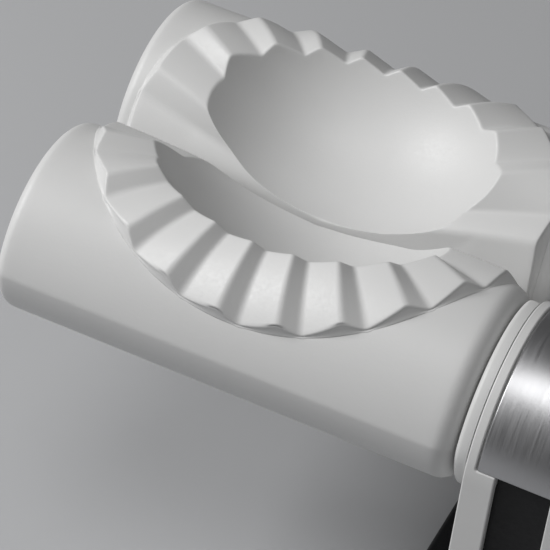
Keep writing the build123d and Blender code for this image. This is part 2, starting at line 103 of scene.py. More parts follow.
def mesh_object(name: str, points: Array, faces: list[Array], smooth: bool = True) -> bpy.types.Object:
    """Put points and faces into a new mesh object that sits at the origin.

    Args:
        name: Name of the object.
        points: Places in millimetres, of shape (points, 3).
        faces: Arrays of quads or triangles that index the points.
        smooth: True for shading that runs smoothly over the faces.

    Returns:
        The new object, linked to the scene.
    """
    mesh = bpy.data.meshes.new(name)
    mesh.from_pydata((points * MM).tolist(), [], [face for part in faces for face in part.tolist()])
    mesh.polygons.foreach_set("use_smooth", np.full(len(mesh.polygons), smooth))
    mesh.update()
    thing = bpy.data.objects.new(name, mesh)
    bpy.context.scene.collection.objects.link(thing)
    return thing


def weld(thing: bpy.types.Object) -> None:
    """Merge points that coincide, so that seams and poles close and faces of no size go.

    Args:
        thing: The mesh object.
    """
    work = bmesh.new()
    work.from_mesh(thing.data)
    bmesh.ops.remove_doubles(work, verts=work.verts, dist=WELD_DISTANCE)
    bmesh.ops.dissolve_degenerate(work, dist=WELD_DISTANCE, edges=work.edges)
    work.to_mesh(thing.data)
    work.free()


def join_parts(parts: list[Skin]) -> Skin:
    """Stack several point sets with their faces into one set.

    Args:
        parts: Pairs of points and faces.

    Returns:
        All points, and all faces with their indices moved on.
    """
    start = 0
    faces: list[Array] = []
    for points, own in parts:
        faces += [face + start for face in own]
        start += len(points)
    return np.concatenate([points for points, _ in parts]), faces


def smooth_step(value: Array, low: float, high: float) -> Array:
    """Ease from 0 to 1 between two limits: 3 t squared less 2 t cubed."""
    t = np.clip((value - low) / (high - low), 0, 1)
    return t * t * (3 - 2 * t)


def running_mean_loop(points: Array, width: float, step: float) -> Array:
    """Round a closed outline by averaging it over a width of its own length.

    Each new point is the mean of all points within half the width along the outline, which is first cut
    into eight samples to a new step or forty to the width, whichever is coarser.

    Args:
        points: Corners and curve points of the outline, of shape (points, 2).
        width: Length over which the mean runs.
        step: Spacing of the new points.

    Returns:
        The rounded outline at even spacing, of shape (new points, 2).
    """
    samples_to_step, samples_to_width = 8, 40
    loop = np.vstack([points, points[:1]])
    lengths = np.concatenate([[0], np.cumsum(np.hypot(*np.diff(loop, axis=0).T))])
    fine = max(step / samples_to_step, width / samples_to_width)
    count = int(lengths[-1] / fine)
    along = np.arange(count) * lengths[-1] / count
    dense = np.stack([np.interp(along, lengths, loop[:, axis]) for axis in (0, 1)], axis=1)
    reach = max(1, int(round(width / 2 / fine)))
    rounded = np.mean([np.roll(dense, shift, axis=0) for shift in range(-reach, reach + 1)], axis=0)
    return rounded[::max(1, int(round(step / fine)))]


def inward_normals(outline: Array) -> Array:
    """Unit normals of a closed outline, on the left of its direction of travel."""
    tangent = np.roll(outline, -1, axis=0) - np.roll(outline, 1, axis=0)
    tangent /= np.hypot(*tangent.T)[:, None]
    return np.stack([-tangent[:, 1], tangent[:, 0]], axis=1)


def facing_out(points: Array, faces: list[Array]) -> list[Array]:
    """Turn the faces over where the closed skin's signed volume is below zero.

    The volume is a sixth of the sum, over each face's triangles from its first corner, of the triple product
    of their corners.

    Args:
        points: Corners of the closed skin.
        faces: Triangles and quads.

    Returns:
        The faces, seen from outside anticlockwise.
    """
    volume = 0.0
    for group in faces:
        for last in range(2, group.shape[1]):
            a, b, c = (points[group[:, k]] for k in (0, last - 1, last))
            volume += float(np.sum(a * np.cross(b, c)))
    return faces if volume >= 0 else [group[:, ::-1] for group in faces]


def loop_skin(loops: Array, first_pole: Array, last_pole: Array) -> Skin:
    """Join closed loops, one after the other, and close both ends with a fan to a pole.

    Args:
        loops: Places of shape (loops, places, 3).
        first_pole: Place that closes the first loop.
        last_pole: Place that closes the last loop.

    Returns:
        The points, and the faces looking outwards.
    """
    rows, count = loops.shape[:2]
    ring = np.arange(count)
    following = (ring + 1) % count
    low, high = rows * count, rows * count + 1
    first = np.stack([np.full(count, low), following, ring], axis=1)
    last_row = (rows - 1) * count
    last = np.stack([np.full(count, high), last_row + ring, last_row + following], axis=1)
    points = np.concatenate([loops.reshape(-1, 3), [first_pole, last_pole]])
    return points, facing_out(points, [grid_quads(rows, count, closed=True), first, last])


def rounded_stations(low: float, high: float, low_rounding: float, high_rounding: float, arc_steps: int,
                     between: int = 0) -> tuple[Array, Array]:
    """Stations from one face to the other, close together on the roundings, and their insets.

    The inset of a quarter round of radius f at angle a is f (1 - sin a), at f (1 - cos a) from the face.

    Args:
        low: X of the first face.
        high: X of the last face.
        low_rounding: Radius at the first face.
        high_rounding: Radius at the last face.
        arc_steps: Number of segments of each rounding.
        between: Number of stations between the roundings.

    Returns:
        The X places and the insets.
    """
    turn = np.linspace(0, QUARTER_TURN, arc_steps + 1)
    first = low + low_rounding * (1 - np.cos(turn))
    last = high - high_rounding * (1 - np.cos(turn[::-1]))
    middle = np.linspace(first[-1], last[0], between + 2)[1:-1]
    insets = [low_rounding * (1 - np.sin(turn)), np.zeros(between), high_rounding * (1 - np.sin(turn[::-1]))]
    return np.concatenate([first, middle, last]), np.concatenate(insets)


def closed_prism(xs: Array, rings: Array, middle: Array, shares: tuple[float, ...]) -> Skin:
    """Loft YZ rings along X and close both faces with smaller copies of their rings and a pole.

    Args:
        xs: The rings' stations.
        rings: Outlines of shape (rings, points, 2).
        middle: Y and Z that the faces close towards.
        shares: How far the smaller copies are drawn in, as shares of the way to the middle.

    Returns:
        The points, and the faces looking outwards.
    """
    drawn = np.array(shares)[:, None, None]
    low = middle + (rings[:1] - middle) * (1 - drawn[::-1])
    high = middle + (rings[-1:] - middle) * (1 - drawn)
    flat = np.concatenate([low, rings, high])
    places = np.pad(xs, len(shares), mode="edge")[:, None, None]
    loops = np.concatenate([np.broadcast_to(places, flat.shape[:2] + (1,)), flat], axis=2)
    return loop_skin(loops, np.array([xs[0], *middle]), np.array([xs[-1], *middle]))


def rounded_corner(along: float, radius: float, rounding: float, rising: bool, steps: int = 5) -> Array:
    """A quarter round of a turned profile, as pairs of axial place and radius.

    Args:
        along: Axial place of the face that the corner ends at.
        radius: Outer radius beside the corner.
        rounding: The corner's radius; below zero the face looks the other way.
        rising: True where the profile comes from the face, False where it goes to it.
        steps: Number of segments.

    Returns:
        Places of shape (steps + 1, 2).
    """
    turn = np.linspace(0, QUARTER_TURN, steps + 1)
    turn = turn if rising else turn[::-1]
    places = along + rounding * (1 - np.cos(turn))
    return np.stack([places, radius - abs(rounding) * (1 - np.sin(turn))], axis=1)


def turned_skin(x: Array, radii: Array, centre: tuple[float, float], ends: tuple[float, float]) -> Skin:
    """Sweep a profile round an axis along X: Y and Z are the centre plus radius times cos and sin.

    Args:
        x: Axial places of the profile.
        radii: Radii of shape (places, directions), the directions evenly round a full turn.
        centre: Y and Z of the axis.
        ends: X of the poles that close the first and the last loop.

    Returns:
        The points, and the faces looking outwards.
    """
    turn = full_circle(radii.shape[1])
    loops = np.stack([np.broadcast_to(x[:, None], radii.shape), centre[0] + radii * np.cos(turn),
                      centre[1] + radii * np.sin(turn)], axis=-1)
    return loop_skin(loops, *(np.array([end, *centre]) for end in ends))


def full_circle(directions: int) -> Array:
    """Angles evenly round a full turn, the last one short of the first."""
    return np.linspace(0, FULL_TURN, directions + 1)[:-1]


# Finishes

Effect = tuple[bpy.types.NodeTree, bpy.types.NodeOutputs, bpy.types.Node]


def wire(tree: bpy.types.NodeTree, node: bpy.types.Node, inputs: dict[str | int, object]) -> None:
    """Link a node's inputs to the sockets given for them, and set the others to the values given.

    Args:
        tree: The nodes' tree.
        node: The node.
        inputs: Sockets or values, by the input's name or place.
    """
    for name, value in inputs.items():
        if isinstance(value, bpy.types.NodeSocket):
            tree.links.new(value, node.inputs[name])
        else:
            node.inputs[name].default_value = value


def add_node(tree: bpy.types.NodeTree, kind: str, inputs: dict[str | int, object],
             **settings: object) -> bpy.types.NodeOutputs:
    """Add a shader node to a tree.

    Args:
        tree: The group's or material's nodes.
        kind: The node's type without its prefix.
        inputs: Sockets to link or values to set, by input.
        settings: The node's own settings, made before its inputs.

    Returns:
        The node's outputs.
    """
    node = tree.nodes.new("ShaderNode" + kind)
    for name, value in settings.items():
        setattr(node, name, value)
    wire(tree, node, inputs)
    return node.outputs


def object_noise(tree: bpy.types.NodeTree, **inputs: object) -> bpy.types.NodeSocket:
    """Add a noise, over Object coordinates unless a Vector is given.

    Args:
        tree: The group's or material's nodes.
        inputs: Sockets to link or values to set, by input.

    Returns:
        The noise's value.
    """
    if "Vector" not in inputs:
        inputs["Vector"] = add_node(tree, "TexCoord", {})["Object"]
    return add_node(tree, "TexNoise", inputs)["Fac"]


def span(tree: bpy.types.NodeTree, value: bpy.types.NodeSocket, limits: tuple[float, float],
         target: tuple[float, float] = (0.0, 1.0)) -> bpy.types.NodeSocket:
    """Add a map from one range of a value to another, and return its result."""
    return add_node(tree, "MapRange", {"Value": value, "From Min": limits[0], "From Max": limits[1],
                                       "To Min": target[0], "To Max": target[1]})["Result"]


def effect_group(name: str, output: str, inputs: dict[str, object]) -> Effect:
    """Start a shared effect with named inputs, each a number or a vector, and one number as output.

    Args:
        name: The group's name.
        output: The output's name.
        inputs: Default values by name.

    Returns:
        The group, its inputs as sockets inside it, and the node that takes its output.
    """
    group = bpy.data.node_groups.new(name, "ShaderNodeTree")
    for title, value in inputs.items():
        kind = "NodeSocketVector" if isinstance(value, tuple) else "NodeSocketFloat"
        group.interface.new_socket(name=title, in_out="INPUT", socket_type=kind).default_value = value
    group.interface.new_socket(name=output, in_out="OUTPUT", socket_type="NodeSocketFloat")
    return group, group.nodes.new("NodeGroupInput").outputs, group.nodes.new("NodeGroupOutput")


def mottle_group() -> bpy.types.NodeTree:
    """Soft brightness changes over a surface: one plus Depth times a noise less its middle.

    Returns:
        The group, with inputs Size and Depth and an output Shade near one.
    """
    group, entry, leave = effect_group("soft_mottle", "Shade", {"Size": 30.0, "Depth": 0.04})
    noise = object_noise(group, Scale=entry["Size"], Detail=4)
    centred = add_node(group, "Math", {0: noise, 1: 0.5}, operation="SUBTRACT")[0]
    scaled = add_node(group, "Math", {0: centred, 1: entry["Depth"]}, operation="MULTIPLY")[0]
    wire(group, leave, {"Shade": add_node(group, "Math", {0: scaled, 1: 1.0}, operation="ADD")[0]})
    return group


def grain_group() -> bpy.types.NodeTree:
    """Fine moulded or cast grain.

    Returns:
        The group, with an input Size and an output Height.
    """
    group, entry, leave = effect_group("fine_grain", "Height", {"Size": 1500.0})
    wire(group, leave, {"Height": object_noise(group, Scale=entry["Size"], Detail=3)})
    return group


def brushed_group() -> bpy.types.NodeTree:
    """Long thin scratches, as a value near one half: a noise whose coordinates are scaled by Stretch.

    Returns:
        The group, with inputs Size and Stretch, which is small along the scratches, and an output Height.
    """
    group, entry, leave = effect_group("brushed_lines", "Height",
                                       {"Size": 2500.0, "Stretch": (1.0, 0.02, 0.02)})
    place = add_node(group, "TexCoord", {})["Object"]
    drawn = add_node(group, "VectorMath", {0: place, 1: entry["Stretch"]}, operation="MULTIPLY")["Vector"]
    wire(group, leave, {"Height": object_noise(group, Vector=drawn, Scale=entry["Size"], Detail=6,
                                               Roughness=0.65)})
    return group


def edge_wear_group() -> bpy.types.NodeTree:
    """Where edges are rubbed: the turn between the surface and its bevelled normal, broken up by noise.

    Returns:
        The group, with inputs Width and Reach and an output Mask from zero to one.
    """
    patch_limits, turn_limits = (0.42, 0.62), (1.0, 0.75)
    group, entry, leave = effect_group("rubbed_edges", "Mask", {"Width": 0.0006, "Reach": 0.16})
    bevelled = add_node(group, "Bevel", {"Radius": entry["Width"]}, samples=4)["Normal"]
    surface = add_node(group, "NewGeometry", {})["Normal"]
    turn = add_node(group, "VectorMath", {0: bevelled, 1: surface}, operation="DOT_PRODUCT")["Value"]
    patches = span(group, object_noise(group, Scale=420.0, Detail=5), patch_limits)
    turned = span(group, turn, turn_limits)
    rubbed = add_node(group, "Math", {0: turned, 1: patches}, operation="MULTIPLY")[0]
    wire(group, leave, {"Mask": add_node(group, "Math", {0: rubbed, 1: entry["Reach"]}, operation="MULTIPLY",
                                         use_clamp=True)[0]})
    return group


@dataclass(frozen=True)
class Finish:
    """A material for one kind of surface: its colour, mottle, rubbed edges, and grain or brushing."""

    name: str
    colour: Colour
    roughness: float
    metallic: float = 0.0
    mottle_size: float = 30.0
    mottle_depth: float = 0.06
    grain_size: float = 1500.0
    grain_height: float = 0.00002
    stretch: tuple[float, float, float] | None = None
    height_limits: tuple[float, float] = (0.25, 0.75)
    rough_change: float = 0.08
    worn_colour: Colour = (0.86, 0.86, 0.85)
    worn_reach: float = 0.35
    specular: float = 0.5

    def material(self, groups: dict[str, bpy.types.NodeTree]) -> bpy.types.Material:
        """Build the material's nodes.

        The colour is scaled by the mottle and mixed towards the worn colour along rubbed edges. The grain or
        the brushing bumps the surface and spreads the roughness.

        Args:
            groups: The shared effects by name.

        Returns:
            The material.
        """
        made = bpy.data.materials.new(self.name)
        made.use_nodes = True
        made.diffuse_color = (*self.colour, 1)
        tree = made.node_tree
        mottle = add_node(tree, "Group", {"Size": self.mottle_size, "Depth": self.mottle_depth},
                          node_tree=groups["mottle"])["Shade"]
        tint = add_node(tree, "VectorMath", {0: self.colour, "Scale": mottle}, operation="SCALE")["Vector"]
        wear = add_node(tree, "Group", {"Reach": self.worn_reach}, node_tree=groups["wear"])["Mask"]
        worn = add_node(tree, "Mix", {"Factor": wear, "A": tint, "B": (*self.worn_colour, 1)},
                        data_type="RGBA")
        kind, values = "grain", {"Size": self.grain_size}
        if self.stretch is not None:
            kind, values = "brushed", {**values, "Stretch": self.stretch}
        height = add_node(tree, "Group", values, node_tree=groups[kind])["Height"]
        bump = add_node(tree, "Bump", {"Strength": 1.0, "Distance": self.grain_height, "Height": height})
        spread = (self.roughness - self.rough_change, self.roughness + self.rough_change)
        wire(tree, tree.nodes["Principled BSDF"],
             {"Metallic": self.metallic, "Specular IOR Level": self.specular, "Base Color": worn["Result"],
              "Normal": bump["Normal"], "Roughness": span(tree, height, self.height_limits, spread)})
        return made


@dataclass
class FinishShelf:
    """All finishes of the machine, built once and handed to the pieces."""

    finishes: tuple[Finish, ...] = (
        Finish("white_plastic", (0.66, 0.66, 0.655), 0.46, mottle_size=55, mottle_depth=0.05,
               worn_colour=(0.74, 0.74, 0.73), worn_reach=0.5),
        Finish("black_plastic", (0.012, 0.012, 0.013), 0.45, mottle_depth=0.3, grain_height=0.00006,
               grain_size=900.0, worn_colour=(0.07, 0.07, 0.07), worn_reach=0.5, specular=0.22),
        Finish("brushed_cover", (0.50, 0.50, 0.51), 0.37, metallic=1.0, mottle_depth=0.10, grain_size=2600.0,
               grain_height=0.000012, stretch=(1.0, 0.03, 0.03), worn_reach=0.3),
        Finish("gear_plastic", (0.58, 0.56, 0.50), 0.5, worn_colour=(0.70, 0.68, 0.62)),
        Finish("bronze", (0.50, 0.33, 0.16), 0.38, metallic=1.0, mottle_depth=0.25, stretch=(0.03, 1.0, 1.0),
               grain_height=0.00001, worn_colour=(0.75, 0.55, 0.32)),
        Finish("rubber", (0.022, 0.022, 0.022), 0.72, mottle_depth=0.35, grain_height=0.00008,
               grain_size=1100.0, worn_colour=(0.07, 0.07, 0.07), worn_reach=0.6),
        Finish("steel", (0.52, 0.52, 0.54), 0.34, metallic=1.0, mottle_depth=0.14, grain_size=2000.0,
               grain_height=0.000012, stretch=(1.0, 1.0, 0.04), worn_reach=0.4),
        Finish("zinc_steel", (0.60, 0.61, 0.62), 0.30, metallic=1.0, mottle_size=400, mottle_depth=0.25,
               grain_size=2500.0, grain_height=0.00001, worn_reach=0.4),
    )

    def __post_init__(self) -> None:
        """Build the shared groups and every material."""
        groups = {"mottle": mottle_group(), "grain": grain_group(), "brushed": brushed_group(),
                  "wear": edge_wear_group()}
        self.materials = {finish.name: finish.material(groups) for finish in self.finishes}

    def dress(self, thing: bpy.types.Object, slot: str) -> None:
        """Give a piece one finish and name the record's slot that it stands for.

        Args:
            thing: The piece.
            slot: The slot's name, which is the finish's too.
        """
        thing.data.materials.clear()
        thing.data.materials.append(self.materials[slot])

    def dress_nodes(self) -> None:
        """Give every carried over node the finish of its slot in the record."""
        for part in frame["record"]["subparts"]:
            for place in frame["nodes"][part["node"]].material_slots:
                place.material = self.materials[part["material_slot"]]

    def stands_for(self, thing: bpy.types.Object, node: str) -> bpy.types.Object:
        """Dress a piece in its node's finish, fix it to the node's body and let it stand for the node.

        Args:
            thing: The piece.
            node: The node's name.

        Returns:
            The piece.
        """
        record = frame["record"]
        slot = next(part["material_slot"] for part in record["subparts"] if part["node"] == node)
        body = next(name for name, nodes in record["behaviour"]["bodies"].items() if node in nodes)
        self.dress(thing, slot)
        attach(thing, body)
        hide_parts(node)
        LOG.info("%s stands for %s on %s", thing.name, node, body)
        return thing


# Rollers

@dataclass
class Roller:
    """Sizes that the moulds and carriers of both rollers share."""

    row: Row
    side: Side
    radius: float = 26.0
    crease_angle: float = 167.5
    underside: float = -14.8
    skirt_start: float = 184.0
    crown_steps: int = 400
    skirt_steps: int = 120

    def section(self, rounding: float, step: float, nip_reach: float = math.inf) -> Array:
        """The hump's outline round the roller axis, nip side at +Y, turning right from the heel.

        A crown arc, a skirt arc that leaves the crease at skirt_start and ends level, a flat underside, and
        the corners rounded by a running mean.

        Args:
            rounding: Width of the running mean.
            step: Spacing of the points.
            nip_reach: Where a flat cut takes the nip side away.

        Returns:
            The outline, of shape (points, 2).
        """
        crease, start = math.radians(self.crease_angle), math.radians(self.skirt_start)
        crown = np.linspace(math.asin(self.underside / self.radius), crease, self.crown_steps)
        skirt = np.linspace(start, 3 * QUARTER_TURN, self.skirt_steps)[1:]
        skirt_radius = (self.radius * math.sin(crease) - self.underside) / (1 + math.sin(start))
        skirt_centre = self.radius * math.cos(crease) - skirt_radius * math.cos(start)
        y = np.concatenate([self.radius * np.cos(crown), skirt_centre + skirt_radius * np.cos(skirt)])
        z = np.concatenate([self.radius * np.sin(crown), self.underside + skirt_radius * (1 + np.sin(skirt))])
        corners = np.stack([y, z], axis=1)
        if nip_reach < self.radius:
            cut_top = math.sqrt(self.radius ** 2 - nip_reach ** 2)
            cut = [[nip_reach, self.underside], [nip_reach, cut_top]]
            corners = np.concatenate([cut, corners[y < nip_reach]])
        return running_mean_loop(corners, rounding, step)

    def placed_mesh(self, name: str, skins: list[Skin]) -> bpy.types.Object:
        """Move skins to their place in the machine, mirrored where the side or row asks, as one mesh.

        Args:
            name: Name of the object.
            skins: Skins round the roller axis, with X below zero outwards from the machine's middle and the
                nip at +Y.

        Returns:
            The object.
        """
        points, faces = join_parts(skins)
        points[:, 0] *= -self.side.value
        points[:, 1] = self.row.value * (AXIS_OFFSET - points[:, 1])
        points[:, 2] += AXIS_HEIGHT
        if self.side.value * self.row.value < 0:
            faces = [face[:, ::-1] for face in faces]
        return mesh_object(name, points, faces)


@dataclass
class Lines:
    """Fine samples of the lines that run from the nip's middle over the land.

    The angles are in degrees, one for each line, and the reaches are those of the samples. The lengths and
    the places' distances from the hollow's skin, below zero inside it, have the shape (samples, lines).
    """

    angle: Array
    reach: Array
    length: Array
    inside: Array


def rim_curve(before: Array, rim: Array, after: Array, steps: int = 5) -> Array:
    """Round a rim between two rows: (1 - t) squared, 2 t (1 - t) and t squared of the three.

    Args:
        before: The row before the rim, of shape (lines, 3).
        rim: The rim.
        after: The row after it.
        steps: Number of segments.

    Returns:
        The rows between the two, of shape (steps - 1, lines, 3).
    """
    t = np.linspace(0, 1, steps + 1)[1:-1, None, None]
    return (1 - t) ** 2 * before + 2 * t * (1 - t) * rim + t ** 2 * after


@dataclass
class Mould(Roller):
    """One hump-shaped mould with its ring of pleats and its hollow."""

    length: float = 110.0
    middle: float = 72.05
    outline_rounding: float = 0.9
    outline_step: float = 0.45
    inner_rounding: float = 4.5
    outer_rounding: float = 2.5
    end_steps: int = 8
    middle_stations: int = 70
    end_shares: tuple[float, ...] = (0.3, 0.6, 0.85)
    ring_radius: float = 52.1
    ridge: float = 2.6
    valley: float = 0.2
    pitch: float = 16.0
    steep_half: float = 2.64
    soft_angle: float = 0.85
    soft_samples: int = 9
    fade_turn: tuple[float, float] = (14.0, 36.0)
    end_fade_turn: tuple[float, float] = (1.0, 9.0)
    end_along: tuple[float, float] = (27.0, 37.0)
    hollow_angle: float = 60.5
    hollow_floor: float = 12.5
    hollow_half_angle: float = 46.0
    hollow_rim_half_length: float = 33.5
    rim_rounding: float = 0.6
    rim_share: float = 0.35
    edge_rounding: float = 0.55
    wall_draft: float = 0.7
    wall_lowest: float = 0.05
    foot_fillet: float = 0.45
    sink_depth: float = 1.2
    foot_draw: float = 0.9
    press_margin: float = 4.2
    press_turn: float = 0.07
    press_radius: float = 9.0
    nip_sink: tuple[float, float] = (1.2, 2.4)
    nip_swing: tuple[float, float] = (0.5, 0.55)
    line_samples: int = 2400
    first_share: float = 0.01
    crowded_angle: float = 8.0
    crowded_lines: int = 41
    crowding: float = 1.4
    even_lines: int = 329
    near_rows: int = 14
    bowl_rows: int = 56
    far_rows: int = 26
    edge_steps: int = 5
    wall_steps: int = 7

    def __post_init__(self) -> None:
        """Work out the hollow's stretch, which is its half length and its round radius, and its middle."""
        cosine = math.cos(math.radians(self.hollow_half_angle))
        spare = self.radius ** 2 + self.hollow_floor ** 2 - 2 * self.hollow_floor * self.radius * cosine
        self.hollow_round = spare / (2 * (self.radius * cosine - self.hollow_floor))
        centre = self.hollow_round + self.hollow_floor
        rim_share = (centre - self.radius) / self.hollow_round
        half_length = self.hollow_rim_half_length / math.sqrt(1 - rim_share ** 2)
        self.stretch = np.array([half_length, self.hollow_round, self.hollow_round])
        turn = math.radians(self.hollow_angle)
        self.hollow_middle = centre * np.array([0, math.cos(turn), math.sin(turn)])

    def height(self, angle: Array) -> Array:
        """Height of the pleats over the crown at an angle round the nip's middle.

        A saw with a steep rise over twice steep_half and a gentle fall over the rest of the pitch, each
        corner softened by the mean of some places within soft_angle.

        Args:
            angle: Angles in degrees, zero towards the machine's body.

        Returns:
            Heights in millimetres.
        """
        steep, gentle = self.steep_half, self.pitch - 2 * self.steep_half
        shifts = np.linspace(-self.soft_angle, self.soft_angle, self.soft_samples)
        turn = (angle[..., None] + shifts - 90 + self.pitch / 2) % self.pitch - self.pitch / 2
        fall = np.where(turn < 0, (-turn - steep) / gentle, 1 - (turn - steep) / gentle)
        saw = np.where(np.abs(turn) <= steep, 0.5 + turn / (2 * steep), fall).mean(axis=-1)
        height = self.valley + (self.ridge - self.valley) * saw
        return self.ridge + self.valley - height if self.row is Row.REAR else height

    def unroll(self, reach: Array, angle: Array) -> tuple[Array, Array, Array]:
        """Measure polar places of a flat round wrapper along and across the nip line.

        Along is reach cos angle, across is reach sin angle, and the turn round the roller up to its top is
        arccos(1 - across / radius).

        Args:
            reach: Distances from the nip's middle.
            angle: Angles in degrees.

        Returns:
            The places along and across the nip line, and the turns, which hold up to the top.
        """
        flat = np.radians(angle)
        along, across = reach * np.cos(flat), np.maximum(reach * np.sin(flat), 0)
        return along, across, np.arccos(np.clip(1 - across / self.radius, -1, 1))

    def drape(self, reach: Array, angle: Array, lift: Array) -> Array:
        """Lay polar places of a flat round wrapper over the crown.

        Past the roller's top the turn is a quarter and (across - radius) / radius more.

        Args:
            reach: Distances from the nip's middle.
            angle: Angles in degrees.
            lift: Heights over the crown.

        Returns:
            Places of shape (..., 3) with the roller axis at zero.
        """
        along, across, near = self.unroll(reach, angle)
        turn = np.where(across <= self.radius, near, QUARTER_TURN + (across - self.radius) / self.radius)
        distance = self.radius + lift
        return np.stack([along, distance * np.cos(turn), distance * np.sin(turn)], axis=-1)

    def land_lift(self, reach: Array, angle: Array) -> Array:
        """Pleat height that eases to its mean where the wrapper turns down into the nip.

        Beside the hollow's tips the pleats run on almost to the nip line.

        Args:
            reach: Distances from the nip's middle.
            angle: Angles in degrees.

        Returns:
            Heights in millimetres.
        """
        along, _, turn = self.unroll(reach, angle)
        turn = np.degrees(turn)
        beside = smooth_step(np.abs(along), *self.end_along) * smooth_step(turn, *self.end_fade_turn)
        shown = np.maximum(smooth_step(turn, *self.fade_turn), beside)
        mean = (self.ridge + self.valley) / 2
        return mean + (self.height(angle) - mean) * shown

    def land(self, reach: Array, angle: Array) -> Array:
        """Places on the pleats, of shape (..., 3)."""
        return self.drape(reach, angle, self.land_lift(reach, angle))

    def to_ball(self, points: Array) -> Array:
        """Stretch places so that the hollow becomes a ball of radius one at the origin."""
        return (points - self.hollow_middle) / self.stretch

    def from_ball(self, points: Array) -> Array:
        """Undo the stretch of to_ball."""
        return points * self.stretch + self.hollow_middle

    def lines(self) -> Lines:
        """Sample the grid lines finely.

        The lines stand close together near the nip line and evenly elsewhere. The reach is the ring radius
        times the square of an even share.

        Returns:
            The samples.
        """
        crowded = self.crowded_angle * np.linspace(0, 1, self.crowded_lines) ** self.crowding
        even = np.linspace(self.crowded_angle, 180 - self.crowded_angle, self.even_lines)
        angle = np.concatenate([crowded[:-1], even, 180 - crowded[::-1][1:]])
        reach = self.ring_radius * np.linspace(self.first_share, 1, self.line_samples) ** 2
        spots = self.land(reach[:, None], angle[None])
        steps = np.linalg.norm(np.diff(spots, axis=0), axis=-1)
        length = np.concatenate([np.zeros((1, len(angle))), np.cumsum(steps, axis=0)])
        return Lines(angle, reach, length, np.linalg.norm(self.to_ball(spots), axis=-1) - 1)

    @staticmethod
    def rim_lengths(lines: Lines) -> tuple[Array, Array]:
        """Where each line from the nip's middle enters and leaves the hollow.

        The crossings of zero are interpolated between samples.

        Args:
            lines: The lines' samples.

        Returns:
            Entry and exit lengths, both the length of the hollow's tip on a line that misses the hollow.
        """
        length, inside = lines.length, lines.inside
        hit = inside < 0
        first, last = np.argmax(hit, axis=0), len(inside) - 1 - np.argmax(hit[::-1], axis=0)
        column = np.arange(inside.shape[1])

        def crossing(low: Array) -> Array:
            """Interpolate the crossing between one sample and the next."""
            a, b = inside[low, column], inside[low + 1, column]
            share = np.clip(a / np.where(a == b, 1, a - b), 0, 1)
            return length[low, column] * (1 - share) + length[low + 1, column] * share

        entry = crossing(np.maximum(first - 1, 0))
        leave = crossing(np.minimum(last, len(inside) - 2))
        struck = np.flatnonzero(hit.any(axis=0))
        tip = (entry + leave)[struck[[0, -1]]] / 2
        early, late = column < struck[0], column > struck[-1]
        entry, leave = (np.where(early, tip[0], np.where(late, tip[1], rim)) for rim in (entry, leave))
        return entry, leave

    def on_land(self, wanted: Array, lines: Lines) -> Array:
        """Places on the land at true lengths along the lines.

        Args:
            wanted: Lengths of shape (rows, lines).
            lines: The lines' samples.

        Returns:
            Places of shape (rows, lines, 3).
        """
        column = np.arange(len(lines.angle))[None]
        low = np.stack([np.sum(lines.length < row[None], axis=0) for row in wanted]) - 1
        low = np.clip(low, 0, len(lines.reach) - 2)
        before, after = lines.length[low, column], lines.length[low + 1, column]
        share = np.clip((wanted - before) / np.maximum(after - before, 1e-9), 0, 1)
        reach = lines.reach[low] * (1 - share) + lines.reach[low + 1] * share
        return self.land(reach, lines.angle[None])

    def pad(self) -> Skin:
        """The land, the hollow and the ring's wall as one skin, closed at the roller's middle.

        Each grid line runs from the nip's middle over the near land, down through the hollow, up to the far
        land and over the ring's outer wall. The wall's foot is a smooth ring, and its draft draws the top
        edge in at the ridges.

        Returns:
            The points and the faces.
        """
        lines = self.lines()
        entry, leave = self.rim_lengths(lines)
        soft = np.minimum(self.rim_rounding, self.rim_share * np.maximum(leave - entry, 0.01))
        foot_lift = self.land_lift(np.full_like(lines.angle, self.ring_radius), lines.angle)
        top_reach = self.ring_radius - self.foot_fillet - self.wall_draft * foot_lift
        outer = lines.length[-1] - (self.ring_radius - top_reach) - self.edge_rounding
        far_start = np.minimum(leave + soft, outer - 0.5)
        far = self.on_land(far_start + np.linspace(0, 1, self.far_rows)[:, None] * (outer - far_start), lines)
        near_rim, far_rim = self.on_land(np.stack([entry, leave]), lines)
        near = self.near_land(near_rim, soft)
        bowl = self.bowl(near_rim, far_rim, soft)
        rows = [near, rim_curve(near[-1], near_rim, bowl[0]), bowl, rim_curve(bowl[-1], far_rim, far[0]), far,
                self.ring_wall(top_reach, lines.angle)]
        return self.closed_skin(np.concatenate(rows))

    def near_land(self, rim: Array, soft: Array) -> Array:
        """The land between the nip line and the hollow's near rim.

        Each line runs in even steps of X and of turn from the nip line to just before the rim. The lines'
        feet spread along the nip line with the rim's X, drawn in a little.

        Args:
            rim: The near rim's places, of shape (lines, 3).
            soft: Lengths kept free for the rim's rounding.

        Returns:
            Places of shape (rows, lines, 3).
        """
        turn = np.arctan2(rim[:, 2], rim[:, 1])
        width = np.abs(rim[0, 0])
        foot = rim[:, 0] * (self.foot_draw + (1 - self.foot_draw) * (1 - np.minimum(turn / turn.max(), 1)))
        foot = np.minimum.accumulate(np.clip(foot, -width, width))
        end = np.clip(1 - soft / np.maximum(self.radius * turn, 0.05), 0.1, 1)
        share = np.linspace(0, 1, self.near_rows)[:, None] * end
        x = foot * (1 - share) + rim[:, 0] * share
        across = self.radius * (1 - np.cos(turn * share))
        return self.land(np.hypot(x, across), np.degrees(np.arctan2(across, x)))

